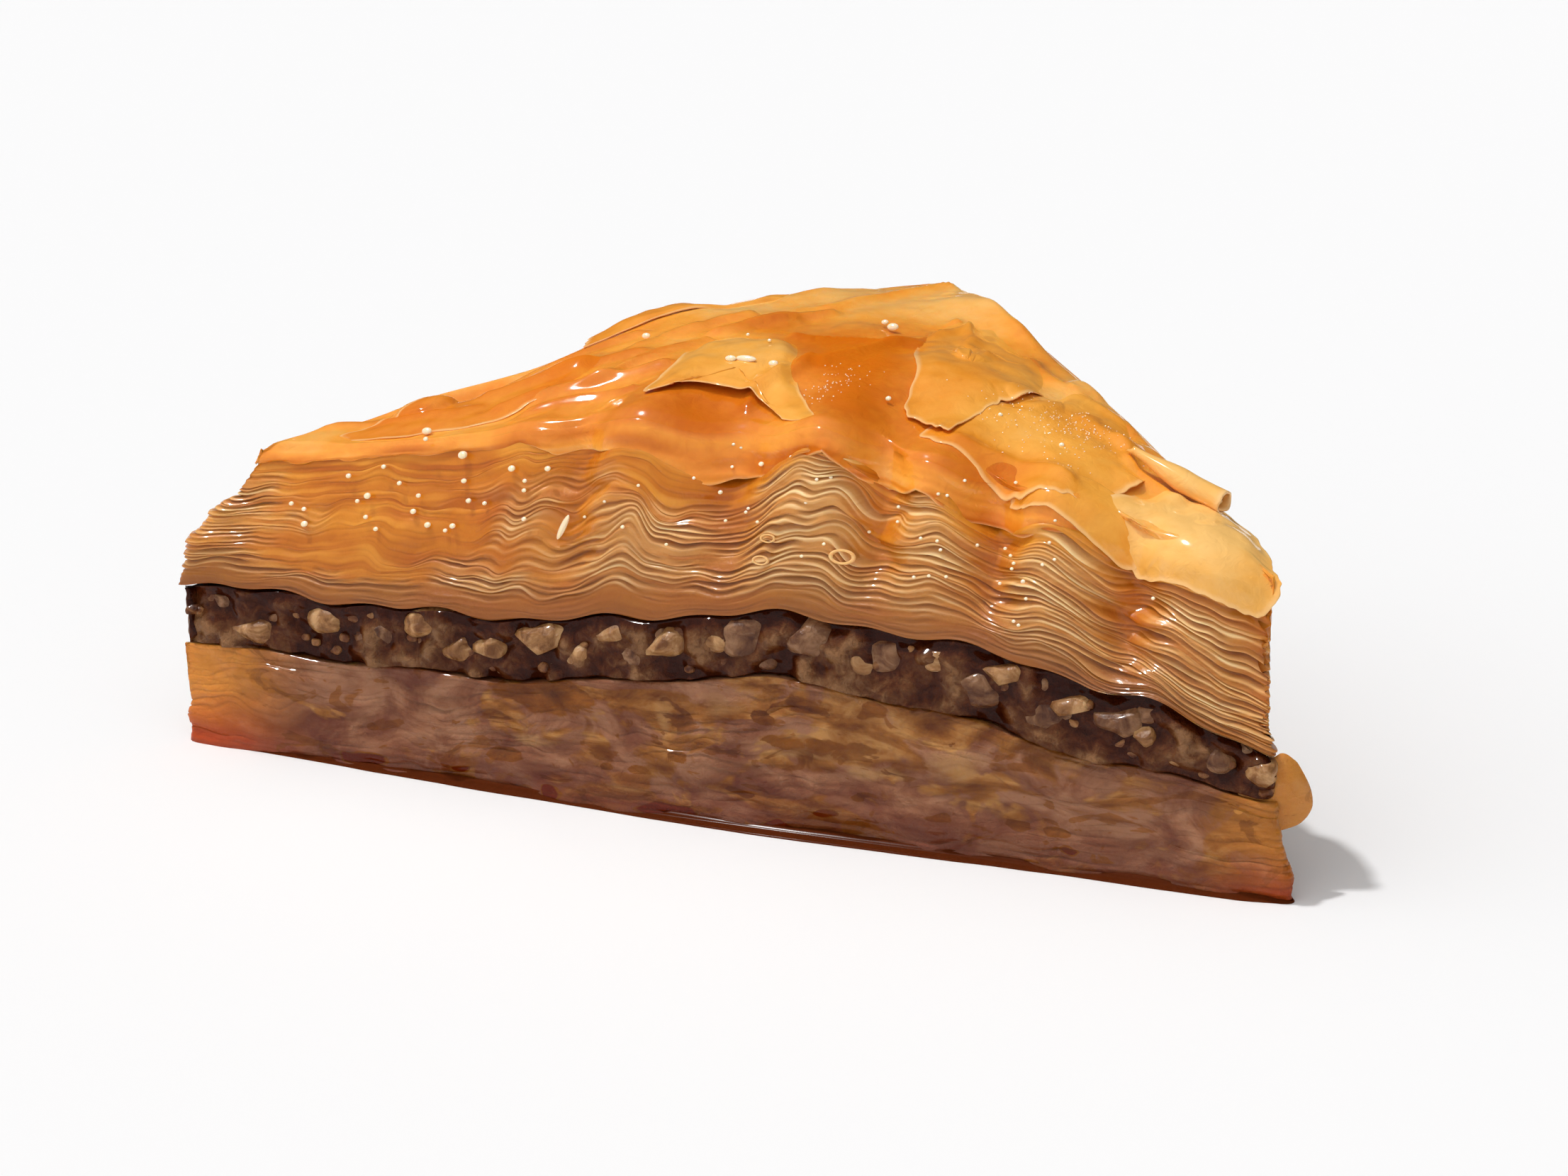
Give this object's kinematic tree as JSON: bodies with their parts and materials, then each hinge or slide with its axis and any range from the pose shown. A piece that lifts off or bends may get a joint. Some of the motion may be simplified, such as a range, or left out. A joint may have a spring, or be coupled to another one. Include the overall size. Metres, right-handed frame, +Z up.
{
  "type": "baklava piece",
  "caption": "Triangular piece of filo pastry with a chopped nut layer between a soaked lower stack of sheets and a puffed, glazed upper stack.",
  "frame": {"origin": "on the surface the piece rests on, below the middle of its box", "axes": "+Z up; +X along the long cut side, to the right when that side is seen from the front; +Y from the long cut side towards the third corner"},
  "size_m": [0.0927, 0.0531, 0.0328],
  "materials": {
    "glazed_filo": "golden baked filo sheets under a clear syrup glaze",
    "chopped_nuts": "dark brown nut paste with paler chopped nuts, wet with syrup",
    "soaked_filo": "syrup-soaked translucent filo sheets"
  },
  "bodies": {
    "root": {"upper_filo": "glazed_filo", "nut_filling": "chopped_nuts", "lower_filo": "soaked_filo"}
  },
  "joints": []
}
